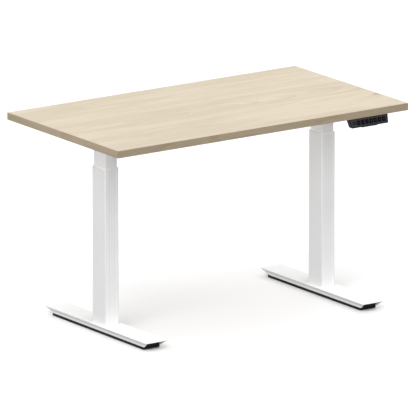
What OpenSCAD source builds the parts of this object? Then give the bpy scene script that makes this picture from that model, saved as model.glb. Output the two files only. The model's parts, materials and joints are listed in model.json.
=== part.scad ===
// Two-leg electric sit-stand desk: laminate desktop, steel underframe, two lifting columns on
// T-feet and an under-edge handset.
// Frame: +Z up, floor at z = 0, user side towards -Y, origin on the floor midway between the
// outermost points in X and in Y.

/* [Desktop] */
// Width of the desktop, left to right
top_w = 1200; // [1080:10:1800]
// Depth of the desktop, front to back
top_d = 670; // [620:10:900]
// Thickness of the desktop
top_t = 25; // [18:1:40]
// Thickness of the edge band
band_t = 2; // [1:0.5:3]
// Height of the working surface above the floor, as drawn
top_h = 712; // [690:1:735]

/* [Columns] */
// Distance from each side of the desktop to the centre of its column
col_inset = 150; // [100:5:250]
// How far the columns stand in front of the desktop's centre
col_shift = 38; // [0:1:60]
// Outer tube, left to right
outer_x = 56; // [50:1:80]
// Outer tube, front to back
outer_y = 79; // [70:1:100]
// Corner radius of the outer tube
tube_r = 3.5; // [3.5:0.5:10]
// Wall of the outer tube
outer_wall = 1.8; // [1.5:0.1:3]
// Wall of the inner tube
inner_wall = 1.5; // [1.2:0.1:2.5]
// Space between the two tubes, on each side
tube_gap = 2.2; // [1.6:0.1:3]
// Depth of the grooves in the outer tube's front and back
groove_d = 0.5; // [0.2:0.1:0.8]
// Distance between neighbouring grooves
groove_step = 10; // [6:1:12]
// Length of the outer tube
outer_len = 542; // [500:1:560]
// Visible height of the guide collar on the outer tube
collar_h = 6; // [4:1:12]

/* [Travel] */
// How far the desktop can rise from the height drawn
stroke_up = 430; // [200:10:430]
// How far the desktop can sink from the height drawn
stroke_down = 20; // [10:1:25]
// Travel of a key on the handset
key_travel = 0.8; // [0.4:0.1:1]

/* [Feet] */
// Length of a foot
foot_l = 608; // [500:1:800]
// Width of a foot
foot_w = 85; // [78:1:110]
// Height of the foot's top face above the floor
foot_h = 30; // [28:1:40]
// Steel thickness of the foot
foot_wall = 2; // [1.5:0.25:3]
// How far each side of the foot tucks in below the top face
foot_tuck = 8; // [4:1:10]
// Height of the sloping part of each side
foot_slope = 10; // [6:0.5:12]
// How far the sloping ends run back below the top face
end_run = 38; // [25:1:45]
// Height of the steel's lower edge above the floor
foot_clear = 11; // [8:0.5:12]
// Height of the plastic sole above the floor
sole_z = 2; // [2:0.5:4]

/* [Frame] */
// Length of a side bracket
bracket_l = 440; // [360:10:560]
// Space between a side bracket and the inner tube, on each side
bracket_gap = 3.5; // [3:0.5:10]
// Depth of a side bracket at the column
bracket_h = 34; // [34:1:50]
// Depth of a side bracket at its ends
bracket_tip = 14; // [10:1:16]
// Steel thickness of a side bracket
bracket_wall = 2.5; // [2:0.25:3]
// Height of a crossbar's section
rail_z = 30; // [24:1:30]
// Width of a crossbar's section
rail_y = 20; // [16:1:24]
// Wall of a crossbar
rail_wall = 1.5; // [1.2:0.1:2]
// Distance of each crossbar from the column's centre line
rail_off = 66; // [64:1:80]
// How far the crossbars overlap at the middle
rail_lap = 200; // [100:10:300]

/* [Drive] */
// Diameter of the spindle
spindle_d = 16; // [12:1:20]
// Outside diameter of the tube that carries the nut
nut_tube_d = 28; // [26:1:30]
// Space around the gear motor in the inner tube
motor_gap = 2.5; // [1.5:0.5:6]
// Length of the gear motor
motor_l = 110; // [90:5:120]

/* [Handset] */
// Width of the handset
pad_w = 163; // [160:1:200]
// Height of the handset's front
pad_h = 30; // [28:1:40]
// Depth of the handset, front to back
pad_d = 60; // [50:1:90]
// Distance from the right side of the desktop to the middle of the handset
pad_inset = 166; // [110:1:400]
// How far the top of the front leans back
pad_lean = 12; // [4:1:14]
// How far the top of the front stands behind the desktop's front edge
pad_set = 5; // [0:1:10]
// Space between neighbouring keys
key_gap = 4.6; // [3.6:0.2:7]
// Height of a key
key_h = 15; // [12:0.5:16]

/* [Control box] */
// Width of the control box
box_w = 240; // [200:5:300]
// Depth of the control box, front to back
box_d = 90; // [80:5:110]
// Height of the control box
box_h = 38; // [34:1:45]
// Distance of the box's front behind the back crossbar
box_gap = 14; // [5:1:60]
// Wall of the control box
box_wall = 2.5; // [2:0.25:3]

/* [Hidden] */
$fn = 48;

LEFT = -1;
RIGHT = 1;
FRONT = -1;
BACK = 1;
EPS = 0.01;

// Places in plan: the origin is midway between the frontmost and the rearmost point
front_reach = max(top_d / 2 + max(pad_lean - pad_set, 0), foot_l / 2 + col_shift);
back_reach = max(top_d / 2, foot_l / 2 - col_shift);
desk_y = (front_reach - back_reach) / 2;
front_y = desk_y - top_d / 2;
back_y = desk_y + top_d / 2;
col_y = desk_y - col_shift;
col_x = top_w / 2 - col_inset;

// Clearances
run_fit = 0.05;      // radial, a turning or sliding shaft in its bore
slip = 0.3;          // between plastic parts that slide or are pushed together
hole_gap = 0.2;      // radial, a bolt in its hole; between a cap and the steel around it
weld_gap = 0.1;      // between a welded-in plate and its tube
skirt_clear = 0.3;   // collar and shoe to the tube that slides past them

// Heights
under_z = top_h - top_t;
head_t = 5;
head_z = under_z - bracket_wall - head_t;      // top end of the inner tube
tube_z = foot_h;                               // bottom end of the outer tube
collar_z = tube_z + outer_len;
base_t = 10;
base_z = tube_z + base_t;

// Inner tube
inner_x = outer_x - 2 * (outer_wall + tube_gap);
inner_y = outer_y - 2 * (outer_wall + tube_gap);
inner_r = tube_r - outer_wall;
bore_x = outer_x - 2 * outer_wall;             // inside of the outer tube
bore_y = outer_y - 2 * outer_wall;
inner_z = base_z + stroke_down + 10;           // bottom end of the inner tube
shoe_h = 24;
skirt_h = 40;

// Drive
motor_d = inner_x - 2 * (inner_wall + motor_gap);
nut_h = 25;
nut_d = motor_d - 2;
nut_wall = 3;
motor_z = head_z - motor_l - 4;
nut_z = motor_z - stroke_down - 12 - nut_h;    // bottom of the nut flange
spindle_z = nut_z - stroke_up + 6;             // bottom end of the spindle
journal_d = spindle_d - 4;
journal_l = 10;

// Bolts
m8 = 8;
m6 = 6;
m5 = 5;
base_bolt_x = bore_x / 2 - 12;
base_bolt_y = bore_y / 2 - 10;
head_bolt_x = inner_x / 2 - 7;
head_bolt_y = inner_y / 2 + 7;
bracket_w = inner_x + 2 * (bracket_wall + bracket_gap);
head_w = bracket_w - 2 * bracket_wall - 1;
head_l = inner_y + 28;
screw_edge = 18;                               // bracket's outer screws to its ends
screw_step = 90;                               // to the next screws
wood_bite = min(16, top_t - 4);

// Handset's place
pad_x = top_w / 2 - pad_inset;
pad_y = front_y + pad_set - pad_lean;          // lowest front edge
tab_l = 14;
tab_t = 2.5;
tab_w = 16;
tab_x = pad_w / 2 - 40;

// Side brackets stop short of the handset
bracket_front = min(bracket_l / 2, col_y - (pad_y + pad_d + tab_l) - 4);
bracket_back = bracket_l / 2;
bracket_screw_y = [
    -bracket_front + screw_edge, -bracket_front + screw_edge + screw_step,
    bracket_back - screw_edge - screw_step, bracket_back - screw_edge
];

// Crossbars
rail_top = under_z - bracket_wall;
rail_end_x = col_x - bracket_w / 2;
rail_mid = 50;                                 // centre of the overlap, to the right of the middle
flange_t = 2.5;
flange_w = rail_y + 20;
flange_bolt = rail_y / 2 + 5;

// Feet
foot_lip = 1.5;
side_z = foot_h - foot_lip - foot_slope;       // where the sides turn upright
slope_l = norm([foot_tuck, foot_slope]);
side_half = foot_w / 2 - foot_tuck;
cap_l = 84;                                    // inner end of a cap from the tip of the foot
cap_inset = 30;                                // face of a cap from the tip of the foot
stem_d = 8;
glide_d = 38;
glide_h = 6;
glide_in = cap_inset + glide_d / 2 + 3;         // glide's centre from the tip of the foot
stem_top = foot_h - foot_wall - 1.5;
stiff_t = 6;
stiff_l = 130;

// Handset
tilt = atan(pad_lean / pad_h);
face_len = norm([pad_lean, pad_h]);
face_t = 2;
pad_wall = 2.5;
panel_t = 14;                                  // front part, front to back
back_h = 11;                                   // rear part, top to bottom
back_inset = 24;                               // rear part's ends, in from the front part's
pad_taper = 3.5;                               // each end draws in by this much at the bottom
pad_round = 5;                                 // lower corners of the front
pad_top_round = 3;
chin_w = 62;
chin_h = 2.5;
face_w = pad_w - 2 * (pad_taper + 3.5);
face_h = face_len - 6;
face_margin = 4.1;
key_n = 7;
key_pitch = (face_w - 2 * face_margin) / (key_n + 1);
key_w = key_pitch - key_gap;
key_out = 1;
screen_w = key_w + 1;
screen_h = key_h - 4;
key_flange = 1;
board_gap = 1.4;
board_t = 1.6;

// Control box
box_front = col_y + rail_off + flange_w / 2 + box_gap;
box_lid_t = 2.5;
box_z = under_z - box_h;
ear_l = 20;
port_z = 6;                                    // lower edge of the openings above the box's base
inlet_w = 30;
inlet_h = 22;
inlet_d = 22;
inlet_wall = 2.5;
inlet_x = box_w / 2 - 40;
blade_l = 10;
socket_w = 15;
socket_h = 12;
socket_d = 14;
socket_x = [-90, -60, -30, 0];

// ---------------------------------------------------------------- shared shapes

// Filled rectangle with round corners, centred
module rounded_rect(x, y, r) {
    square([x - 2 * r, y], center = true);
    square([x, y - 2 * r], center = true);
    for (i = [-1, 1], j = [-1, 1])
        translate([i * (x / 2 - r), j * (y / 2 - r)]) circle(r);
}

// Upright ring between two round-cornered outlines
module rect_ring(x, y, r, in_x, in_y, in_r, h) {
    linear_extrude(h) difference() {
        rounded_rect(x, y, r);
        rounded_rect(in_x, in_y, in_r);
    }
}

// Prism along Y from an outline in X and Z
module along_y(length) {
    rotate([90, 0, 0]) linear_extrude(length, center = true) children();
}

// Prism along X from an outline in Y and Z
module along_x(length) {
    rotate([90, 0, 90]) linear_extrude(length, center = true) children();
}

// Places a piece on the column's centre line
module at_column(side) {
    translate([side * col_x, col_y, 0]) children();
}

// Bolt with a round head below and its shank upwards
module bolt(d, length, head_d, head_h) {
    cylinder(h = length, d = d);
    translate([0, 0, -head_h]) difference() {
        cylinder(h = head_h, d = head_d);
        translate([0, 0, -EPS]) cylinder(h = head_h * 0.6, d = d * 0.7, $fn = 6);
    }
}

// ---------------------------------------------------------------- desktop

module desktop_board() {
    color("burlywood") difference() {
        translate([-top_w / 2 + band_t, front_y + band_t, under_z])
            cube([top_w - 2 * band_t, top_d - 2 * band_t, top_t]);
        for (p = desktop_screw_points())
            translate([p[0], p[1], under_z - EPS]) cylinder(h = wood_bite + 1, d = m5 + 2 * run_fit);
    }
}

module edge_band_long(end) {
    color("tan") translate([0, desk_y + end * (top_d / 2 - band_t / 2), under_z + top_t / 2])
        cube([top_w, band_t, top_t], center = true);
}

module edge_bands_side() {
    color("tan") for (side = [LEFT, RIGHT])
        translate([side * (top_w / 2 - band_t / 2), desk_y, under_z + top_t / 2])
            cube([band_t, top_d - 2 * band_t, top_t], center = true);
}

// ---------------------------------------------------------------- underframe

// Outline of a bracket seen from the side, deep at the column and shallow at the ends
module bracket_side() {
    polygon([
        [-bracket_front, under_z],
        [bracket_back, under_z],
        [bracket_back, under_z - bracket_tip],
        [rail_off + flange_w, under_z - bracket_h],
        [-rail_off - flange_w, under_z - bracket_h],
        [-bracket_front, under_z - bracket_tip]
    ]);
}

module side_bracket(side) {
    color("white") at_column(side) difference() {
        along_x(bracket_w) bracket_side();
        translate([0, 0, under_z - bracket_wall - bracket_h])
            cube([bracket_w - 2 * bracket_wall, 2 * bracket_l, 2 * bracket_h], center = true);
        for (y = bracket_screw_y)
            translate([0, y, under_z - 10]) cylinder(h = 20, d = m5 + 2 * hole_gap);
        for (x = [-head_bolt_x, head_bolt_x], y = [-head_bolt_y, head_bolt_y])
            translate([x, y, under_z - 10]) cylinder(h = 20, d = m6 + 2 * hole_gap);
        for (y = [-rail_off, rail_off], b = [-flange_bolt, flange_bolt])
            translate([-side * bracket_w / 2, y + b, rail_top - rail_z / 2]) rotate([0, 90, 0])
                cylinder(h = 3 * bracket_wall, d = m6 + 2 * hole_gap, center = true);
    }
}

// Crossbar half with a flange welded on the end that meets the bracket
module crossbar(end, side, y, z, x_inner_end, wall) {
    x_flange = side * rail_end_x;
    x_bar = x_flange - side * flange_t;
    color("white") translate([0, col_y + end * rail_off, rail_top - rail_z / 2]) {
        difference() {
            translate([(x_bar + x_inner_end) / 2, 0, 0])
                cube([abs(x_bar - x_inner_end), y, z], center = true);
            translate([(x_bar + x_inner_end) / 2, 0, 0])
                cube([abs(x_bar - x_inner_end) + 2, y - 2 * wall, z - 2 * wall], center = true);
            for (x = lock_screw_x())
                translate([x, 0, -z / 2]) cylinder(h = 3 * wall, d = m5 + 2 * hole_gap, center = true);
        }
        difference() {
            translate([x_flange - side * flange_t / 2, 0, 0])
                cube([flange_t, flange_w, rail_z], center = true);
            for (b = [-flange_bolt, flange_bolt])
                translate([x_flange, b, 0]) rotate([0, 90, 0])
                    cylinder(h = 4 * flange_t, d = m6 + 2 * hole_gap, center = true);
        }
    }
}

function lock_screw_x() = [rail_mid - rail_lap / 4, rail_mid + rail_lap / 4];

module crossbar_outer(end) {
    crossbar(end, LEFT, rail_y, rail_z, rail_mid + rail_lap / 2, rail_wall);
}

module crossbar_inner(end) {
    play = rail_wall + slip;
    crossbar(end, RIGHT, rail_y - 2 * play, rail_z - 2 * play, rail_mid - rail_lap / 2, rail_wall);
}

// Screws that lock each pair of crossbar halves from below
module crossbar_lock_screws() {
    for (end = [FRONT, BACK], x = lock_screw_x())
        translate([x, col_y + end * rail_off, rail_top - rail_z])
            bolt(m5, 2 * rail_wall + slip + 3, 9, 3);
}

// Bolts from inside each bracket through the crossbar flanges
module crossbar_bolts() {
    for (side = [LEFT, RIGHT], end = [FRONT, BACK], b = [-flange_bolt, flange_bolt])
        translate([side * (rail_end_x + bracket_wall), col_y + end * rail_off + b, rail_top - rail_z / 2])
            rotate([0, -side * 90, 0]) bolt(m6, bracket_wall + flange_t + 5, 10, 3.5);
}

module column_head(side) {
    color("gainsboro") at_column(side) difference() {
        translate([0, 0, head_z + head_t / 2]) cube([head_w, head_l, head_t], center = true);
        for (x = [-head_bolt_x, head_bolt_x], y = [-head_bolt_y, head_bolt_y])
            translate([x, y, head_z - 1]) cylinder(h = head_t + 2, d = m6 + 2 * hole_gap);
    }
}

// Bolts from below through each column head into its bracket
module column_head_bolts() {
    for (side = [LEFT, RIGHT]) at_column(side)
        for (x = [-head_bolt_x, head_bolt_x], y = [-head_bolt_y, head_bolt_y])
            translate([x, y, head_z]) bolt(m6, head_t + bracket_wall, 10, 3.5);
}

module frame_bolts() {
    color("silver") {
        crossbar_lock_screws();
        crossbar_bolts();
        column_head_bolts();
    }
}

// Where wood screws enter the desktop, and the thickness that each one clamps
function bracket_screw_points() =
    [for (side = [LEFT, RIGHT], y = bracket_screw_y) [side * col_x, col_y + y, bracket_wall]];
function box_screw_points() =
    [for (side = [LEFT, RIGHT]) [side * (box_w + ear_l) / 2, box_front + box_d / 2, box_lid_t]];
function pad_screw_points() =
    [for (side = [LEFT, RIGHT]) [pad_x + side * tab_x, pad_y + pad_d + tab_l / 2, tab_t]];
function desktop_screw_points() =
    concat(bracket_screw_points(), box_screw_points(), pad_screw_points());

module desktop_screws() {
    color("silver") for (p = desktop_screw_points())
        translate([p[0], p[1], under_z - p[2]]) bolt(m5, wood_bite + p[2], 10, 3);
}

// ---------------------------------------------------------------- columns

module outer_tube(side) {
    groove_w = 2.4;
    color("white") at_column(side) translate([0, 0, tube_z]) difference() {
        rect_ring(outer_x, outer_y, tube_r, bore_x, bore_y, tube_r - outer_wall, outer_len);
        for (x = [-groove_step, 0, groove_step], y = [-outer_y / 2, outer_y / 2])
            translate([x, y, outer_len / 2]) cube([groove_w, 2 * groove_d, outer_len + 2], center = true);
    }
}

// Plastic collar that caps the outer tube and guides the inner one
module guide_collar(side) {
    open_x = inner_x + 2 * skirt_clear;
    open_y = inner_y + 2 * skirt_clear;
    open_r = inner_r + skirt_clear;
    color("whitesmoke") at_column(side) translate([0, 0, collar_z]) {
        rect_ring(outer_x, outer_y, tube_r, open_x, open_y, open_r, collar_h);
        translate([0, 0, -skirt_h])
            rect_ring(bore_x - 2 * weld_gap, bore_y - 2 * weld_gap, tube_r - outer_wall,
                      open_x, open_y, open_r, skirt_h);
    }
}

module inner_tube(side) {
    color("white") at_column(side) translate([0, 0, inner_z])
        rect_ring(inner_x, inner_y, inner_r, inner_x - 2 * inner_wall, inner_y - 2 * inner_wall,
                  inner_r - inner_wall, head_z - inner_z);
}

// Slide shoe around the lower end of the inner tube
module glide_shoe(side) {
    snug = 0.05;
    color("dimgray") at_column(side) translate([0, 0, inner_z])
        rect_ring(bore_x - 2 * skirt_clear, bore_y - 2 * skirt_clear, tube_r - outer_wall - skirt_clear,
                  inner_x + 2 * snug, inner_y + 2 * snug, inner_r, shoe_h);
}

module column_base(side) {
    color("silver") at_column(side) difference() {
        translate([0, 0, tube_z]) linear_extrude(base_t)
            rounded_rect(bore_x - 2 * weld_gap, bore_y - 2 * weld_gap, tube_r - outer_wall);
        for (x = [-base_bolt_x, base_bolt_x], y = [-base_bolt_y, base_bolt_y])
            translate([x, y, tube_z - 1]) cylinder(h = base_t + 2, d = m8 + 2 * run_fit);
    }
}

// ---------------------------------------------------------------- drive

module gear_motor(side) {
    can = motor_l * 0.62;
    color("dimgray") at_column(side) translate([0, 0, motor_z]) difference() {
        union() {
            cylinder(h = motor_l - can, d = motor_d - 2);
            translate([0, 0, motor_l - can]) cylinder(h = can, d = motor_d);
            translate([0, 0, motor_l]) cylinder(h = 4, d = motor_d - 12);
        }
        translate([0, 0, -EPS]) cylinder(h = journal_l, d = journal_d + 2 * run_fit);
    }
}

module spindle(side) {
    color("silver") at_column(side) {
        translate([0, 0, spindle_z]) cylinder(h = motor_z - spindle_z - 1, d = spindle_d);
        translate([0, 0, motor_z - 1]) cylinder(h = journal_l, d = journal_d);
    }
}

// Tube that stands on the column base with the spindle nut on top
module nut_tube(side) {
    color("gray") at_column(side) difference() {
        union() {
            translate([0, 0, base_z]) cylinder(h = nut_z - base_z, d = nut_tube_d);
            translate([0, 0, nut_z]) cylinder(h = nut_h, d = nut_d);
        }
        translate([0, 0, base_z - EPS]) cylinder(h = nut_z - base_z, d = nut_tube_d - 2 * nut_wall);
        translate([0, 0, nut_z - 1]) cylinder(h = nut_h + 2, d = spindle_d + 2 * run_fit);
    }
}

// ---------------------------------------------------------------- feet

// Outline of the foot seen from the side, longest along its top face
module foot_side() {
    polygon([
        [-foot_l / 2, foot_h],
        [foot_l / 2, foot_h],
        [foot_l / 2, foot_h - foot_lip],
        [foot_l / 2 - end_run, sole_z],
        [-foot_l / 2 + end_run, sole_z],
        [-foot_l / 2, foot_h - foot_lip]
    ]);
}

// Outer outline of the steel, seen from the end
module foot_outline() {
    polygon([
        [-side_half, foot_clear],
        [-side_half, side_z],
        [-foot_w / 2, foot_h - foot_lip],
        [-foot_w / 2, foot_h],
        [foot_w / 2, foot_h],
        [foot_w / 2, foot_h - foot_lip],
        [side_half, side_z],
        [side_half, foot_clear]
    ]);
}

// Hollow of the steel, seen from the end, taken in by a clearance
module foot_hollow(gap, bottom) {
    w = foot_wall + gap;
    ceiling = foot_h - w;
    bend = side_z + w * (slope_l - foot_slope) / foot_tuck;
    half = side_half - w + (ceiling - bend) * foot_tuck / foot_slope;
    polygon([
        [-side_half + w, bottom],
        [-side_half + w, bend],
        [-half, ceiling],
        [half, ceiling],
        [side_half - w, bend],
        [side_half - w, bottom]
    ]);
}

module base_bolt_holes(z, h, d) {
    for (x = [-base_bolt_x, base_bolt_x], y = [-base_bolt_y, base_bolt_y])
        translate([x, y, z]) cylinder(h = h, d = d);
}

module foot_shell(side) {
    color("white") at_column(side) difference() {
        intersection() {
            along_y(foot_l) foot_outline();
            along_x(foot_w) foot_side();
        }
        along_y(foot_l + 2) foot_hollow(0, foot_clear - 1);
        base_bolt_holes(foot_h - 2 * foot_wall, 3 * foot_wall, m8 + 2 * hole_gap);
    }
}

// Steel plate that backs the foot's top face under the column
module foot_stiffener(side) {
    half = side_half - foot_wall - 1.5;
    color("silver") at_column(side) difference() {
        translate([0, 0, foot_h - foot_wall - stiff_t / 2])
            cube([2 * half, stiff_l, stiff_t], center = true);
        base_bolt_holes(foot_h - foot_wall - stiff_t - 1, stiff_t + 2, m8 + 2 * hole_gap);
    }
}

module foot_bolts(side) {
    reach = stiff_t + foot_wall + base_t;
    color("silver") at_column(side)
        for (x = [-base_bolt_x, base_bolt_x], y = [-base_bolt_y, base_bolt_y])
            translate([x, y, foot_h - foot_wall - stiff_t]) bolt(m8, reach, 14, 4);
}

// Plastic sole that closes the foot from below between the end caps
module foot_sole(side) {
    lip = 4;
    skin = 2;
    half = side_half - 1;
    clip = side_half - foot_wall - hole_gap;
    color("black") at_column(side) along_y(foot_l - 2 * cap_l - 2 * slip) difference() {
        union() {
            translate([-half, sole_z]) square([2 * half, foot_clear - sole_z]);
            translate([-clip, foot_clear - EPS]) square([2 * clip, lip]);
        }
        translate([-clip + skin, sole_z + skin]) square([2 * (clip - skin), foot_clear + lip]);
    }
}

// Plastic blocks behind both sloping ends, which hold the levelling glides
module foot_end_caps(side) {
    cap_y = (foot_l - cap_l - cap_inset) / 2;
    color("black") at_column(side) for (end = [FRONT, BACK]) difference() {
        translate([0, end * cap_y, 0]) along_y(cap_l - cap_inset) {
            foot_hollow(hole_gap, foot_clear - EPS);
            translate([-side_half + 1, sole_z]) square([2 * side_half - 2, foot_clear - sole_z]);
        }
        translate([0, end * (foot_l / 2 - glide_in), 0]) {
            translate([0, 0, -1]) cylinder(h = glide_h + 1 + run_fit, d = glide_d + 2 * slip);
            cylinder(h = foot_h, d = stem_d + 2 * run_fit);
        }
    }
}

module levelling_glide(side, end) {
    color("black") at_column(side) translate([0, end * (foot_l / 2 - glide_in), 0]) {
        cylinder(h = glide_h, d = glide_d);
        cylinder(h = stem_top, d = stem_d);
    }
}

// ---------------------------------------------------------------- control box

module control_box_shell() {
    shell_h = box_h - box_lid_t;
    color("black") difference() {
        translate([-box_w / 2, box_front, box_z]) cube([box_w, box_d, shell_h]);
        translate([-box_w / 2 + box_wall, box_front + box_wall, box_z + box_wall])
            cube([box_w - 2 * box_wall, box_d - 2 * box_wall, shell_h]);
        translate([inlet_x - inlet_w / 2, box_front + box_d - 2 * box_wall, box_z + port_z])
            cube([inlet_w, 3 * box_wall, inlet_h]);
        for (x = socket_x) translate([x - socket_w / 2, box_front - box_wall, box_z + port_z])
            cube([socket_w, 3 * box_wall, socket_h]);
    }
}

module control_box_lid() {
    color("black") difference() {
        translate([-box_w / 2 - ear_l, box_front, under_z - box_lid_t])
            cube([box_w + 2 * ear_l, box_d, box_lid_t]);
        for (p = box_screw_points())
            translate([p[0], p[1], under_z - 2 * box_lid_t])
                cylinder(h = 3 * box_lid_t, d = m5 + 2 * hole_gap);
    }
}

// Circuit board with its transformer and capacitors
module control_board() {
    board_x = -box_w / 2 + box_wall + 5;
    board_w = inlet_x - inlet_w / 2 - 5 - board_x;
    part_z = box_h - box_lid_t - 2 * box_wall - 8;
    color("green") translate([board_x, box_front + socket_d + 6, box_z + box_wall + 3]) {
        cube([board_w, box_d - socket_d - 14, board_t]);
        translate([12, 10, board_t / 2]) cube([52, 36, part_z]);
        for (x = [0.45, 0.58]) translate([x * board_w, 28, board_t / 2]) cylinder(h = part_z - 2, d = 16);
    }
}

// Recessed mains inlet with three blades
module mains_inlet() {
    color("black") translate([inlet_x, box_front + box_d, box_z + port_z + inlet_h / 2]) {
        difference() {
            translate([-inlet_w / 2 + hole_gap, -inlet_d, -inlet_h / 2 + hole_gap])
                cube([inlet_w - 2 * hole_gap, inlet_d, inlet_h - 2 * hole_gap]);
            translate([-inlet_w / 2 + inlet_wall, -inlet_d + inlet_wall, -inlet_h / 2 + inlet_wall])
                cube([inlet_w - 2 * inlet_wall, inlet_d, inlet_h - 2 * inlet_wall]);
        }
        for (x = [-7, 0, 7])
            translate([x - 1, -inlet_d + inlet_wall / 2, (x == 0 ? 1 : -5)]) cube([2, blade_l, 4]);
    }
}

// Row of sockets for the two motors, the handset and a spare
module control_sockets() {
    color("dimgray") for (x = socket_x)
        translate([x, box_front, box_z + port_z + socket_h / 2]) difference() {
            translate([-socket_w / 2 + hole_gap, 0, -socket_h / 2 + hole_gap])
                cube([socket_w - 2 * hole_gap, socket_d, socket_h - 2 * hole_gap]);
            translate([-socket_w / 2 + 2, -2, -socket_h / 2 + 2])
                cube([socket_w - 4, socket_d, socket_h - 4]);
        }
}

// ---------------------------------------------------------------- handset

// Places a piece on the middle of the handset's front: x across, y up the slope, z outwards
module on_face() {
    translate([pad_x, pad_y + pad_lean / 2, under_z - pad_h / 2]) rotate([90 - tilt, 0, 0]) children();
}

// Block of the handset's own face: w across, h up the slope, from depth low to high
module face_block(w, h, low, high) {
    translate([0, 0, (low + high) / 2]) cube([w, h, high - low], center = true);
}

// Quarter of a circle in four flats, anticlockwise from angle a
function quarter(x, y, r, a) = [for (k = [0:4]) [x + r * cos(a + k * 22.5), y + r * sin(a + k * 22.5)]];

// Panel that leans under the desktop's edge, outlined from the side and from the front
module handset_panel() {
    chin = chin_w / 2;
    x_top = pad_w / 2 - pad_top_round;
    x_low = pad_w / 2 - pad_taper - pad_round;
    intersection() {
        along_x(pad_w) polygon([
            [pad_lean, 0],
            [0, -pad_h],
            [chin_h, -pad_h - chin_h],
            [panel_t - chin_h, -pad_h - chin_h],
            [panel_t, -pad_h],
            [pad_lean + panel_t, 0]
        ]);
        along_y(3 * pad_d) polygon(concat(
            quarter(-x_top, -pad_top_round, pad_top_round, 90),
            quarter(-x_low, pad_round - pad_h, pad_round, 180),
            [[-chin - chin_h, -pad_h], [-chin, -pad_h - chin_h], [chin, -pad_h - chin_h], [chin + chin_h, -pad_h]],
            quarter(x_low, pad_round - pad_h, pad_round, 270),
            quarter(x_top, -pad_top_round, pad_top_round, 0)
        ));
    }
}

module handset_housing() {
    back_w = pad_w - 2 * back_inset;
    back_y = pad_lean + panel_t / 2;
    hollow_y = pad_lean + panel_t + 1;
    panel_d = panel_t * cos(tilt);
    color("#19191b") difference() {
        translate([pad_x, pad_y, under_z]) {
            handset_panel();
            translate([-back_w / 2, back_y, -back_h]) cube([back_w, pad_d - back_y, back_h]);
            for (side = [LEFT, RIGHT]) translate([side * tab_x - tab_w / 2, pad_d - EPS, -tab_t])
                cube([tab_w, tab_l + EPS, tab_t]);
        }
        translate([pad_x - back_w / 2 + pad_wall, pad_y + hollow_y, under_z - back_h + pad_wall])
            cube([back_w - 2 * pad_wall, pad_d - pad_wall - hollow_y, back_h]);
        on_face() face_block(face_w - 2, face_h - 2, -panel_d + pad_wall, 0);
        on_face() face_block(face_w, face_h, -face_t, 1);
        for (p = pad_screw_points())
            translate([p[0], p[1], under_z - 2 * tab_t]) cylinder(h = 3 * tab_t, d = m5 + 2 * hole_gap);
    }
}

// Middle of cell i of the front: 0 is the display, 1 to key_n are keys
function cell_x(i) = (i - key_n / 2) * key_pitch;

module handset_face() {
    color("#202024") on_face() difference() {
        face_block(face_w - slip, face_h - slip, -face_t, 0);
        for (i = [1:key_n]) translate([cell_x(i), 0, -face_t - 1])
            linear_extrude(face_t + 2) rounded_rect(key_w + 2 * slip, key_h + 2 * slip, 1.5 + slip);
        translate([cell_x(0), 0, 0]) face_block(screen_w, screen_h, -face_t - 1, 1);
    }
}

module handset_display() {
    color("black") on_face() translate([cell_x(0), 0, 0])
        face_block(screen_w - 2 * weld_gap, screen_h - 2 * weld_gap, -face_t, -2 * weld_gap);
}

module handset_board() {
    top_z = -face_t - key_flange - key_travel - board_gap;
    color("green") on_face() face_block(face_w - 4, face_h - 4, top_z - board_t, top_z);
}

// Key with a rim behind the face that keeps it from falling out
module key(i) {
    rim = key_flange + slip;
    color("#2c2c30") on_face() translate([cell_x(i), 0, -face_t - weld_gap]) {
        linear_extrude(face_t + key_out) rounded_rect(key_w, key_h, 1.5);
        translate([0, 0, -key_flange]) linear_extrude(key_flange)
            rounded_rect(key_w + 2 * rim, key_h + 2 * rim, 2);
    }
}

// ---------------------------------------------------------------- nodes

desktop_board();
edge_band_long(FRONT);  // edge_band_front
edge_band_long(BACK);  // edge_band_back
edge_bands_side();
side_bracket(LEFT);  // side_bracket_left
side_bracket(RIGHT);  // side_bracket_right
crossbar_outer(FRONT);  // crossbar_front_outer
crossbar_inner(FRONT);  // crossbar_front_inner
crossbar_outer(BACK);  // crossbar_back_outer
crossbar_inner(BACK);  // crossbar_back_inner
column_head(LEFT);  // column_head_left
column_head(RIGHT);  // column_head_right
frame_bolts();
desktop_screws();
inner_tube(LEFT);  // inner_tube_left
inner_tube(RIGHT);  // inner_tube_right
glide_shoe(LEFT);  // glide_shoe_left
glide_shoe(RIGHT);  // glide_shoe_right
gear_motor(LEFT);  // gear_motor_left
gear_motor(RIGHT);  // gear_motor_right
spindle(LEFT);  // spindle_left
spindle(RIGHT);  // spindle_right
control_box_shell();
control_box_lid();
control_board();
mains_inlet();
control_sockets();
handset_housing();
handset_face();
handset_display();
handset_board();
key(1);  // key_down
key(2);  // key_up
key(3);  // key_memory_1
key(4);  // key_memory_2
key(5);  // key_memory_3
key(6);  // key_memory_4
key(7);  // key_store
outer_tube(LEFT);  // outer_tube_left
outer_tube(RIGHT);  // outer_tube_right
guide_collar(LEFT);  // guide_collar_left
guide_collar(RIGHT);  // guide_collar_right
column_base(LEFT);  // column_base_left
column_base(RIGHT);  // column_base_right
nut_tube(LEFT);  // nut_tube_left
nut_tube(RIGHT);  // nut_tube_right
foot_shell(LEFT);  // foot_shell_left
foot_shell(RIGHT);  // foot_shell_right
foot_stiffener(LEFT);  // foot_stiffener_left
foot_stiffener(RIGHT);  // foot_stiffener_right
foot_sole(LEFT);  // foot_sole_left
foot_sole(RIGHT);  // foot_sole_right
foot_bolts(LEFT);  // foot_bolts_left
foot_bolts(RIGHT);  // foot_bolts_right
foot_end_caps(LEFT);  // foot_end_caps_left
foot_end_caps(RIGHT);  // foot_end_caps_right
levelling_glide(LEFT, FRONT);  // glide_front_left
levelling_glide(LEFT, BACK);  // glide_back_left
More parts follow.
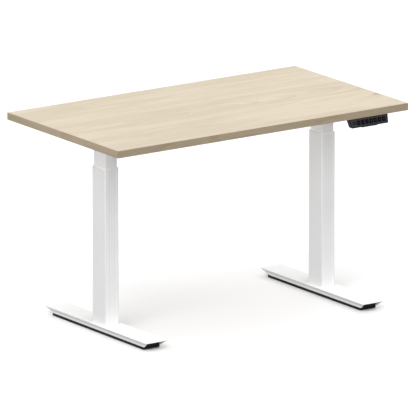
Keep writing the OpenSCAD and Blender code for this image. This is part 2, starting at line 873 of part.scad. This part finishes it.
levelling_glide(RIGHT, FRONT);  // glide_front_right
levelling_glide(RIGHT, BACK);  // glide_back_right
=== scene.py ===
"""Looks for a two-leg sit-stand desk: oak laminate top, white steel frame, black handset.

All lengths are in metres, in the frame of the CAD model: +X right, +Y away from the user, +Z up.
"""
import json
import math

import bmesh
import bpy
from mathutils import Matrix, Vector


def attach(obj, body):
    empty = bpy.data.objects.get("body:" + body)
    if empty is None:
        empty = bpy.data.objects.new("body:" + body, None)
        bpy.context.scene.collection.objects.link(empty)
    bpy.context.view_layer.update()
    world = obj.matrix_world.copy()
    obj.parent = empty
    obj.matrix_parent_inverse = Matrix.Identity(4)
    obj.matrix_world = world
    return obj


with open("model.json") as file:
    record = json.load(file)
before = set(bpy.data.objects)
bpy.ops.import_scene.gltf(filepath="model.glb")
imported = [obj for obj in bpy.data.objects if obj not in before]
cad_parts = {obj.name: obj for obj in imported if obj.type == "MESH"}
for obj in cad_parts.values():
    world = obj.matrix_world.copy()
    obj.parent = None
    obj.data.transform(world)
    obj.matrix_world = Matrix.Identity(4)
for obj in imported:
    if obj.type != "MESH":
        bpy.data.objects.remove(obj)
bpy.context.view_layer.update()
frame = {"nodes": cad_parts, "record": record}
NODES = frame["nodes"]
MM = 0.001

# ------------------------------------------------------------------ camera
CAMERA_AZIMUTH = -34.82      # degrees; 0 looks along +Y
CAMERA_ELEVATION = 14.33
CAMERA_DISTANCE = 30.75
CAMERA_AIM = Vector((-0.008, -0.019, 0.358))
CAMERA_LENS = 771.4          # mm, long enough for a nearly parallel view
SENSOR_WIDTH = 36.0          # mm


def make_camera():
    az = math.radians(CAMERA_AZIMUTH)
    el = math.radians(CAMERA_ELEVATION)
    back = Vector((math.sin(az) * math.cos(el), -math.cos(az) * math.cos(el), math.sin(el)))
    data = bpy.data.cameras.new("camera")
    data.sensor_width = SENSOR_WIDTH
    data.lens = CAMERA_LENS
    data.clip_end = 200.0
    camera = bpy.data.objects.new("camera", data)
    camera.rotation_mode = "QUATERNION"
    camera.location = CAMERA_AIM + back * CAMERA_DISTANCE
    camera.rotation_quaternion = (-back).to_track_quat("-Z", "Y")
    bpy.context.scene.collection.objects.link(camera)
    bpy.context.scene.camera = camera


# ------------------------------------------------------------------ stage
SKY_LIGHT = 0.58             # world light from above the horizon
GROUND_LIGHT = 0.45          # and from below it: the floor itself gives the desk no diffuse light
FLOOR_GLOW = 0.045
FLOOR_HALF = 40.0
OVERHEAD = {"light": 1.98, "spread": 40, "source": Vector((0.0, -0.33, 0.94))}
SIDE = {"light": 1.25, "spread": 40, "source": Vector((-0.66, -0.43, 0.62))}
FLOOR_FILL = {"light": 1.46, "spread": 110, "source": Vector((0.0, 0.0, 1.0))}
SHADELESS = ("desktop_", "edge_band")        # these cast no shadow from any lamp


def make_lamp(name, look, receivers, blockers):
    """A soft distant lamp that lights receivers and is blocked by blockers."""
    sun = bpy.data.lights.new(name, "SUN")
    sun.energy = look["light"]
    sun.angle = math.radians(look["spread"])
    lamp = bpy.data.objects.new(name, sun)
    lamp.rotation_mode = "QUATERNION"
    lamp.rotation_quaternion = (-look["source"]).to_track_quat("-Z", "Y")
    bpy.context.scene.collection.objects.link(lamp)
    lamp.light_linking.receiver_collection = receivers
    lamp.light_linking.blocker_collection = blockers


def make_world():
    """World light that fades from the ground's level to the sky's around the horizon."""
    world = bpy.data.worlds.new("studio")
    world.use_nodes = True
    tree = world.node_tree
    shade = tree.nodes["Background"]
    way = add_node(tree, "TexCoord").outputs["Generated"]
    height = add_node(tree, "SeparateXYZ", n0=way).outputs["Z"]
    rise = add_node(tree, "MapRange", n0=height, n1=-0.25, n2=0.10, n3=0.0, n4=1.0).outputs[0]
    colour = mix(tree, rise, (*grey(GROUND_LIGHT), 1.0), (*grey(SKY_LIGHT), 1.0))
    tree.links.new(colour, shade.inputs["Color"])
    bpy.context.scene.world = world


def make_floor():
    """A wide white floor that gives the desk no diffuse light."""
    corners = [(x * FLOOR_HALF, y * FLOOR_HALF, 0) for x, y in ((-1, -1), (1, -1), (1, 1), (-1, 1))]
    floor = mesh_object("floor", corners, [(0, 1, 2, 3)])
    mat, _, shader = new_material("floor_white", (0.92, 0.92, 0.92), 0.9)
    shader.inputs["Emission Color"].default_value = (1.0, 1.0, 1.0, 1.0)
    shader.inputs["Emission Strength"].default_value = FLOOR_GLOW
    floor.data.materials.append(mat)
    floor.visible_diffuse = False
    return floor


def make_stage():
    """World, floor and lamps. Returns the groups that a new piece joins to be lit and to cast shade."""
    view = bpy.context.scene.view_settings
    view.view_transform = "Standard"
    view.look = "None"
    make_world()
    floor = make_floor()
    desk = bpy.data.collections.new("desk")
    desk_and_floor = bpy.data.collections.new("desk_and_floor")
    blockers = bpy.data.collections.new("blockers")
    for name, node in NODES.items():
        desk.objects.link(node)
        desk_and_floor.objects.link(node)
        if not name.startswith(SHADELESS):
            blockers.objects.link(node)
    desk_and_floor.objects.link(floor)
    floor_only = bpy.data.collections.new("floor_only")
    floor_only.objects.link(floor)
    make_lamp("overhead", OVERHEAD, desk, blockers)
    make_lamp("side", SIDE, desk_and_floor, blockers)
    make_lamp("floor_fill", FLOOR_FILL, floor_only, blockers)
    return desk, desk_and_floor, blockers


# ------------------------------------------------------------------ helpers
def mesh_object(name, points, faces):
    mesh = bpy.data.meshes.new(name)
    mesh.from_pydata([tuple(p) for p in points], [], faces)
    mesh.update()
    piece = bpy.data.objects.new(name, mesh)
    bpy.context.scene.collection.objects.link(piece)
    return piece


def new_material(name, colour, roughness):
    mat = bpy.data.materials.new(name)
    mat.use_nodes = True
    tree = mat.node_tree
    shader = tree.nodes["Principled BSDF"]
    shader.inputs["Base Color"].default_value = (*colour, 1.0)
    shader.inputs["Roughness"].default_value = roughness
    return mat, tree, shader


def add_node(tree, kind, settings=None, **inputs):
    """A shader node with its settings, input values and input links.

    An input is named with _ for a space, or as n and its number.
    """
    node = tree.nodes.new("ShaderNode" + kind)
    for key, value in (settings or {}).items():
        setattr(node, key, value)
    for key, value in inputs.items():
        numbered = key[0] == "n" and key[1:].isdigit()
        socket = node.inputs[int(key[1:]) if numbered else key.replace("_", " ")]
        if isinstance(value, bpy.types.NodeSocket):
            tree.links.new(value, socket)
        else:
            socket.default_value = value
    return node


def coordinates(tree, scale=(1, 1, 1), place=(0, 0, 0)):
    """Object coordinates, moved to place and then scaled."""
    source = add_node(tree, "TexCoord").outputs["Object"]
    moved = add_node(tree, "VectorMath", {"operation": "SUBTRACT"}, n0=source, n1=place)
    return add_node(tree, "VectorMath", {"operation": "MULTIPLY"}, n0=moved.outputs[0], n1=scale).outputs[0]


def noise(tree, vector, scale, detail=4.0, roughness=0.55):
    node = add_node(tree, "TexNoise", Vector=vector, Scale=scale, Detail=detail, Roughness=roughness)
    return node.outputs["Fac"]


def ramp(tree, factor, low, high, stops):
    """Maps factor from low..high onto colours at even stops."""
    node = add_node(tree, "ValToRGB", Fac=factor)
    elements = node.color_ramp.elements
    for i, colour in enumerate(stops):
        at = low + (high - low) * i / (len(stops) - 1)
        element = elements[i] if i < 2 else elements.new(at)
        element.position = at
        element.color = (*colour, 1.0)
    return node.outputs["Color"]


def mix(tree, factor, a, b, kind="MIX"):
    settings = {"data_type": "RGBA", "blend_type": kind}
    return add_node(tree, "Mix", settings, n0=factor, n6=a, n7=b).outputs[2]


def math_node(tree, operation, a, b=0.0):
    return add_node(tree, "Math", {"operation": operation}, n0=a, n1=b).outputs[0]


def bump(tree, shader, height, distance, strength):
    node = add_node(tree, "Bump", Height=height, Distance=distance, Strength=strength)
    tree.links.new(node.outputs["Normal"], shader.inputs["Normal"])


def grey(value):
    return (value, value, value)


# ------------------------------------------------------------------ materials
OAK_LIGHT = (0.655, 0.575, 0.455)
OAK_MID = (0.580, 0.500, 0.385)
OAK_DARK = (0.40, 0.32, 0.22)


def oak(name, light, mid, dark, along=0, heart=(0.16, 0.03, 0.0), knot=None):
    """Flat-sawn oak laminate: long ring lines about heart, fine streaks and short pores along one axis."""
    mat, tree, shader = new_material(name, mid, 0.42)
    warp = noise(tree, coordinates(tree, (1.6, 1.6, 1.6)), 1.0, 3.0)
    wide = [1.0, 1.0, 1.0]
    wide[along] = 0.115
    rings_at = coordinates(tree, tuple(wide), heart)
    bent = add_node(tree, "VectorMath", {"operation": "MULTIPLY_ADD"},
                    n0=(0.09, 0.09, 0.0), n1=warp, n2=rings_at)
    ring_settings = {"wave_type": "RINGS", "rings_direction": "Z", "wave_profile": "SAW"}
    rings = add_node(tree, "TexWave", ring_settings, Vector=bent.outputs[0], Scale=17.0, Distortion=1.6,
                     Detail=3.0, Detail_Scale=2.2, Detail_Roughness=0.6).outputs["Fac"]
    fine = [420.0, 420.0, 420.0]
    fine[along] = 9.0
    streaks = noise(tree, coordinates(tree, tuple(fine)), 1.0, 5.0, 0.6)
    broad = [14.0, 14.0, 14.0]
    broad[along] = 1.3
    tone = noise(tree, coordinates(tree, tuple(broad)), 1.0, 3.0)
    pores_scale = [1100.0, 1100.0, 1100.0]
    pores_scale[along] = 55.0
    pores = noise(tree, coordinates(tree, tuple(pores_scale)), 1.0, 1.0, 0.5)
    colour = ramp(tree, tone, 0.28, 0.74, [light, mid, light, mid])
    ring_tint = ramp(tree, rings, 0.0, 1.0, [grey(1.0), grey(0.97), (0.90, 0.88, 0.85)])
    colour = mix(tree, 1.0, colour, ring_tint, "MULTIPLY")
    streak_tint = ramp(tree, streaks, 0.33, 0.68, [(0.90, 0.885, 0.86), grey(1.0), grey(1.03)])
    colour = mix(tree, 0.9, colour, streak_tint, "MULTIPLY")
    pore_mask = ramp(tree, pores, 0.60, 0.70, [grey(0.0), grey(1.0)])
    pore_part = math_node(tree, "MULTIPLY", pore_mask, 0.28)
    colour = mix(tree, pore_part, colour, (*dark, 1.0))
    if knot is not None:
        knot_at = coordinates(tree, (0.45, 1.0, 1.0), knot)
        reach = add_node(tree, "VectorMath", {"operation": "LENGTH"}, n0=knot_at).outputs["Value"]
        spot = ramp(tree, reach, 0.004, 0.013, [grey(0.75), grey(0.25), grey(0.0)])
        colour = mix(tree, spot, colour, (*[c * 0.55 for c in dark], 1.0))
    tree.links.new(colour, shader.inputs["Base Color"])
    sheen = ramp(tree, streaks, 0.3, 0.7, [grey(0.50), grey(0.38)])
    tree.links.new(sheen, shader.inputs["Roughness"])
    bump(tree, shader, streaks, 0.06 * MM, 0.5)
    shader.inputs["Specular IOR Level"].default_value = 0.35
    return mat


GROOVE_STEP = 10 * MM
GROOVE_HALF = 1.25 * MM
GROOVES_REACH = 13 * MM      # past the outermost groove, from the column's centre


def groove_shade_mask(tree, place):
    """1 on a column's three grooves, which run up its front and back faces, where shade is painted into the
    coat. place is its centre.
    """
    at = add_node(tree, "SeparateXYZ", n0=coordinates(tree, place=(*place, 0.0)))
    x = math_node(tree, "ABSOLUTE", at.outputs["X"])
    steps = math_node(tree, "PINGPONG", x, GROOVE_STEP / 2)
    near = math_node(tree, "LESS_THAN", steps, GROOVE_HALF)
    inner = math_node(tree, "LESS_THAN", x, GROOVES_REACH)
    return math_node(tree, "MULTIPLY", near, inner)


def powder_coat(name, colour, roughness=0.46, grooves=None):
    """Fine powder coat: orange peel in the bump, faint cloudiness in colour and gloss, and painted shade in
    grooves.
    """
    mat, tree, shader = new_material(name, colour, roughness)
    cloud = noise(tree, coordinates(tree), 9.0, 3.0)
    low = tuple(c * 0.982 for c in colour)
    high = tuple(min(c * 1.012, 1.0) for c in colour)
    shade = ramp(tree, cloud, 0.3, 0.7, [low, high])
    # Painted shade: the coat is drawn 10% darker along the grooves.
    if grooves is not None:
        shade = mix(tree, groove_shade_mask(tree, grooves), shade, (*[c * 0.90 for c in colour], 1.0))
    tree.links.new(shade, shader.inputs["Base Color"])
    grain = noise(tree, coordinates(tree), 900.0, 2.0, 0.6)
    gloss = ramp(tree, grain, 0.3, 0.7, [grey(roughness - 0.05), grey(roughness + 0.07)])
    tree.links.new(gloss, shader.inputs["Roughness"])
    bump(tree, shader, grain, 0.05 * MM, 0.55)
    return mat


def moulded(name, colour, roughness, grain_scale=1400.0, depth=0.06, gloss_level=0.18):
    """Spark-textured moulded plastic."""
    mat, tree, shader = new_material(name, colour, roughness)
    grain = add_node(tree, "TexVoronoi", Vector=coordinates(tree), Scale=grain_scale).outputs["Distance"]
    cloud = noise(tree, coordinates(tree), 25.0, 3.0)
    low = tuple(c * 0.86 for c in colour)
    high = tuple(min(c * 1.14, 1.0) for c in colour)
    tree.links.new(ramp(tree, cloud, 0.3, 0.7, [low, high]), shader.inputs["Base Color"])
    gloss = ramp(tree, cloud, 0.3, 0.7, [grey(roughness - 0.06), grey(roughness + 0.06)])
    tree.links.new(gloss, shader.inputs["Roughness"])
    bump(tree, shader, grain, depth * MM, 0.6)
    shader.inputs["Specular IOR Level"].default_value = gloss_level
    return mat


def metal(name, colour, roughness, brushed=(1.0, 1.0, 1.0)):
    """Bare or plated steel, with fine lines where brushed is uneven."""
    mat, tree, shader = new_material(name, colour, roughness)
    shader.inputs["Metallic"].default_value = 1.0
    lines = noise(tree, coordinates(tree, brushed), 260.0, 4.0, 0.65)
    low = tuple(c * 0.88 for c in colour)
    tree.links.new(ramp(tree, lines, 0.3, 0.7, [low, colour]), shader.inputs["Base Color"])
    gloss = ramp(tree, lines, 0.25, 0.75, [grey(roughness - 0.08), grey(roughness + 0.12)])
    tree.links.new(gloss, shader.inputs["Roughness"])
    bump(tree, shader, lines, 0.02 * MM, 0.4)
    return mat


def threaded_steel(name, lead):
    """Rolled thread with several starts, as ridges across Z that lie closer together than its lead."""
    mat, tree, shader = new_material(name, (0.42, 0.42, 0.44), 0.32)
    shader.inputs["Metallic"].default_value = 1.0
    wave = add_node(tree, "TexWave", {"wave_type": "BANDS", "bands_direction": "Z"},
                    Vector=coordinates(tree), Scale=0.5 / lead, Distortion=0.0).outputs["Fac"]
    # The colour darkens in step with the bump towards the thread's valleys: painted shade in its grooves.
    shade = ramp(tree, wave, 0.2, 0.8, [(0.20, 0.20, 0.21), (0.55, 0.55, 0.57)])
    tree.links.new(shade, shader.inputs["Base Color"])
    bump(tree, shader, wave, 0.6 * MM, 0.8)
    return mat


def circuit(name):
    """Solder mask with faint copper tracks."""
    mat, tree, shader = new_material(name, (0.02, 0.16, 0.06), 0.3)
    cells = add_node(tree, "TexVoronoi", {"distance": "MANHATTAN"}, Vector=coordinates(tree), Scale=160.0)
    tracks = ramp(tree, cells.outputs["Distance"], 0.28, 0.34, [(0.02, 0.16, 0.06), (0.04, 0.26, 0.10)])
    tree.links.new(tracks, shader.inputs["Base Color"])
    bump(tree, shader, cells.outputs["Distance"], 0.05 * MM, 0.4)
    return mat


def lens(name):
    """Smoked display window: glossy black with the faintest haze."""
    mat, tree, shader = new_material(name, (0.006, 0.008, 0.007), 0.12)
    haze = noise(tree, coordinates(tree), 120.0, 3.0)
    tree.links.new(ramp(tree, haze, 0.3, 0.7, [grey(0.08), grey(0.18)]), shader.inputs["Roughness"])
    shader.inputs["Specular IOR Level"].default_value = 0.12
    return mat


def ink(name, colour):
    """Printed mark with slightly uneven cover."""
    mat, tree, shader = new_material(name, colour, 0.5)
    cover = noise(tree, coordinates(tree), 700.0, 3.0)
    low = tuple(c * 0.82 for c in colour)
    shade = ramp(tree, cover, 0.3, 0.7, [low, colour])
    tree.links.new(shade, shader.inputs["Base Color"])
    return mat


KNOT = (0.592, -0.160, 0.712)                # on the top, near its right edge
SPINDLE_LEAD = 8 * MM
WHITE = (0.86, 0.86, 0.863)
MATERIALS = {
    "oak_laminate": oak("oak_laminate", OAK_LIGHT, OAK_MID, OAK_DARK, knot=KNOT),
    # Both edge materials are the one oak edge band. It is drawn darker than the top as painted shade, and the
    # side bands' copy is drawn lighter than the front's as painted light from the left.
    "oak_edge": oak("oak_edge", (0.388, 0.313, 0.220), (0.355, 0.284, 0.195), (0.27, 0.205, 0.135),
                    heart=(0.0, 0.0, 0.2)),
    "half_shaded_oak_edge_side": oak("half_shaded_oak_edge_side", (0.465, 0.378, 0.262), (0.43, 0.345, 0.232), (0.31, 0.235, 0.15),
                         along=1, heart=(0.0, 0.0, 0.2)),
    "white_steel": powder_coat("white_steel", WHITE),
    "white_plastic": moulded("white_plastic", (0.86, 0.86, 0.865), 0.4, 1100.0, 0.03),
    "black_plastic": moulded("black_plastic", (0.0045, 0.0045, 0.005), 0.55),
    "key_plastic": moulded("key_plastic", (0.0015, 0.0015, 0.002), 0.42, 1800.0, 0.03, 0.04),
    "handset_shell": moulded("handset_shell", (0.0125, 0.0120, 0.0160), 0.5, 1600.0, 0.04, 0.14),
    "handset_panel": moulded("handset_panel", (0.0270, 0.0260, 0.0330), 0.5, 1600.0, 0.04, 0.14),
    "grey_plastic": moulded("grey_plastic", (0.09, 0.09, 0.095), 0.5),
    "zinc_steel": metal("zinc_steel", (0.62, 0.62, 0.60), 0.3),
    "bare_steel": metal("bare_steel", (0.42, 0.42, 0.43), 0.4, (0.05, 1.0, 1.0)),
    "motor_can": powder_coat("motor_can", (0.035, 0.035, 0.038), 0.38),
    "display_lens": lens("display_lens"),
    "circuit_board": circuit("circuit_board"),
}


def groove_shaded_coat(side):
    """White powder coat for the outer tube on one side, with shade painted into its grooves where that tube
    stands.
    """
    corners = [Vector(corner) for corner in NODES["outer_tube_" + side].bound_box]
    middle = sum(corners, Vector()) / len(corners)
    return powder_coat("white_groove_shaded_" + side, WHITE, grooves=(middle.x, middle.y))


OWN_LOOKS = {                # nodes that don't take their slot's plain material
    "spindle_left": threaded_steel("rolled_thread", SPINDLE_LEAD),
    # The side bands take the lighter copy of the edge band: painted light from the left.
    "edge_bands_side": MATERIALS["half_shaded_oak_edge_side"],
    "handset_face": MATERIALS["handset_panel"],
    "handset_housing": MATERIALS["handset_shell"],
    # The outer tubes' coat has shade painted into its grooves.
    "outer_tube_left": groove_shaded_coat("left"),
    "outer_tube_right": groove_shaded_coat("right"),
}
OWN_LOOKS["spindle_right"] = OWN_LOOKS["spindle_left"]


def paint_nodes():
    for row in frame["record"]["subparts"]:
        node = NODES[row["node"]]
        mat = OWN_LOOKS.get(row["node"], MATERIALS[row["material_slot"]])
        node.data.materials.clear()
        node.data.materials.append(mat)


# ------------------------------------------------------------------ softened edges on the CAD pieces
EDGE_RADII = {               # mm, by the start of a node's name
    "desktop_board": 0.25, "edge_band": 0.6, "side_bracket": 0.6, "crossbar": 0.5, "inner_tube": 0.3,
    "outer_tube": 0.4, "guide_collar": 0.8, "foot_shell": 0.6, "foot_end_caps": 0.8, "foot_sole": 0.6,
    "glide_": 1.2, "control_box": 1.0, "handset_housing": 0.7, "handset_face": 0.25, "key_": 0.45,
    "mains_inlet": 0.4, "control_sockets": 0.4, "column_head": 0.5,
}


def soften(node, radius):
    """Rounds the sharp edges of a node. Flat faces become one polygon each first, so they shade evenly."""
    weld = node.modifiers.new("weld", "WELD")
    weld.merge_threshold = 0.01 * MM
    flats = node.modifiers.new("flats", "DECIMATE")
    flats.decimate_type = "DISSOLVE"
    flats.angle_limit = math.radians(0.5)
    bevel = node.modifiers.new("bevel", "BEVEL")
    bevel.width = radius * MM
    bevel.segments = 3
    bevel.limit_method = "ANGLE"
    bevel.angle_limit = math.radians(35)
    bevel.miter_outer = "MITER_ARC"
    bevel.harden_normals = True


def soften_nodes():
    for name, node in NODES.items():
        for start, radius in EDGE_RADII.items():
            if name.startswith(start):
                soften(node, radius)


# ------------------------------------------------------------------ marks on the handset
FACE_CENTRE = Vector((0.434, -0.3325, 0.672))
FACE_TILT = math.atan2(12, 30)               # the front's top leans back by this
CELL_PITCH = 17.6                            # mm, between keys
KEY_TOP = 0.9                                # mm, where a key's mark starts, in front of the face
LENS_TOP = -0.2                              # mm, and where the display's starts
PRINT_T = 0.04                               # mm
KEY_STROKE = 0.26                            # mm, half the width of a stroke on a key
BAR_STROKE = 0.3                             # mm, and of a bar on the display
DIGIT_STEP = 4.2                             # mm, between the display's digits
MARKS = {                                    # strokes on each key, in mm from its middle
    "down": [[(-1.9, 0.9), (0.0, -1.0), (1.9, 0.9)]],
    "up": [[(-1.9, -0.9), (0.0, 1.0), (1.9, -0.9)]],
    "memory_1": [[(-0.9, 1.5), (0.3, 2.3), (0.3, -2.3)]],
    "memory_2": [[(-1.4, 1.3), (-0.7, 2.2), (0.6, 2.3), (1.4, 1.4), (1.0, 0.2), (-1.4, -2.2), (1.5, -2.2)]],
    "memory_3": [[(-1.3, 2.2), (1.3, 2.2), (0.0, 0.5), (1.1, 0.1), (1.4, -1.0), (0.6, -2.1), (-0.6, -2.2),
                  (-1.4, -1.6)]],
    "memory_4": [[(0.7, -2.3), (0.7, 2.2), (-1.5, -0.9), (1.6, -0.9)]],
    "store": [[(-1.8, -0.6), (-1.8, -2.0), (1.8, -2.0), (1.8, -0.6)], [(0.0, 2.2), (0.0, -0.9)],
              [(-1.1, 0.2), (0.0, -0.9), (1.1, 0.2)]],
}


def on_face(x, y, z):
    """A point on the handset's front, from mm across, up its slope and out of it."""
    up = Vector((0.0, math.sin(FACE_TILT), math.cos(FACE_TILT)))
    out = Vector((0.0, -math.cos(FACE_TILT), math.sin(FACE_TILT)))
    return FACE_CENTRE + Vector((x * MM, 0.0, 0.0)) + up * (y * MM) + out * (z * MM)


def stroke_sides(line, half):
    """Left and right points of a stroke with mitred bends along a line of 2-D points."""
    points = [Vector(p) for p in line]
    sides = []
    for i, point in enumerate(points):
        ways = [(points[j + 1] - points[j]).normalized() for j in (i - 1, i) if 0 <= j < len(points) - 1]
        normals = [Vector((-w.y, w.x)) for w in ways]
        normal = sum(normals, Vector((0.0, 0.0))).normalized()
        reach = half / max(normal.dot(normals[0]), 0.5)
        sides.append((point + normal * reach, point - normal * reach))
    return sides


def print_mark(name, lines, centre, level, half, mat, body):
    """A thin raised print made of strokes, on the handset's front at centre and level."""
    mesh = bmesh.new()
    for line in lines:
        rings = []
        for left, right in stroke_sides(line, half):
            corners = [(left, 0.0), (right, 0.0), (right, PRINT_T), (left, PRINT_T)]
            places = [on_face(centre[0] + p.x, centre[1] + p.y, level + z) for p, z in corners]
            rings.append([mesh.verts.new(place) for place in places])
        for a, b in zip(rings, rings[1:]):
            for i in range(4):
                mesh.faces.new((a[i], a[(i + 1) % 4], b[(i + 1) % 4], b[i]))
        mesh.faces.new(rings[0][::-1])
        mesh.faces.new(rings[-1])
    bmesh.ops.recalc_face_normals(mesh, faces=mesh.faces)
    data = bpy.data.meshes.new(name)
    mesh.to_mesh(data)
    mesh.free()
    data.materials.append(mat)
    piece = bpy.data.objects.new(name, data)
    bpy.context.scene.collection.objects.link(piece)
    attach(piece, body)
    for group in LAMP_GROUPS:
        group.objects.link(piece)


def segment_digit(x, wide, tall):
    """The seven bars of one display digit."""
    gap = 0.35
    level = [[(x - wide / 2 + gap, y), (x + wide / 2 - gap, y)] for y in (-tall / 2, 0.0, tall / 2)]
    upright = [[(x + side * wide / 2, y + gap), (x + side * wide / 2, y + tall / 2 - gap)]
               for side in (-1, 1) for y in (-tall / 2, 0.0)]
    return level + upright


def print_handset():
    """The marks: the display is the first of eight cells, and the keys are the others."""
    white_ink = ink("white_ink", (0.09, 0.09, 0.095))
    for i, (key, lines) in enumerate(MARKS.items()):
        print_mark("mark_" + key, lines, ((i - 2.5) * CELL_PITCH, 0.0), KEY_TOP, KEY_STROKE, white_ink,
                   "key_" + key + "_cap")
    unlit = ink("unlit_segments", (0.009, 0.011, 0.010))
    bars = [bar for step in (-1, 0, 1) for bar in segment_digit(step * DIGIT_STEP, 2.6, 5.6)]
    print_mark("display_segments", bars, (-3.5 * CELL_PITCH, 0.0), LENS_TOP, BAR_STROKE, unlit,
               "top_frame")


# ------------------------------------------------------------------ run
make_camera()
LAMP_GROUPS = make_stage()
paint_nodes()
soften_nodes()
print_handset()
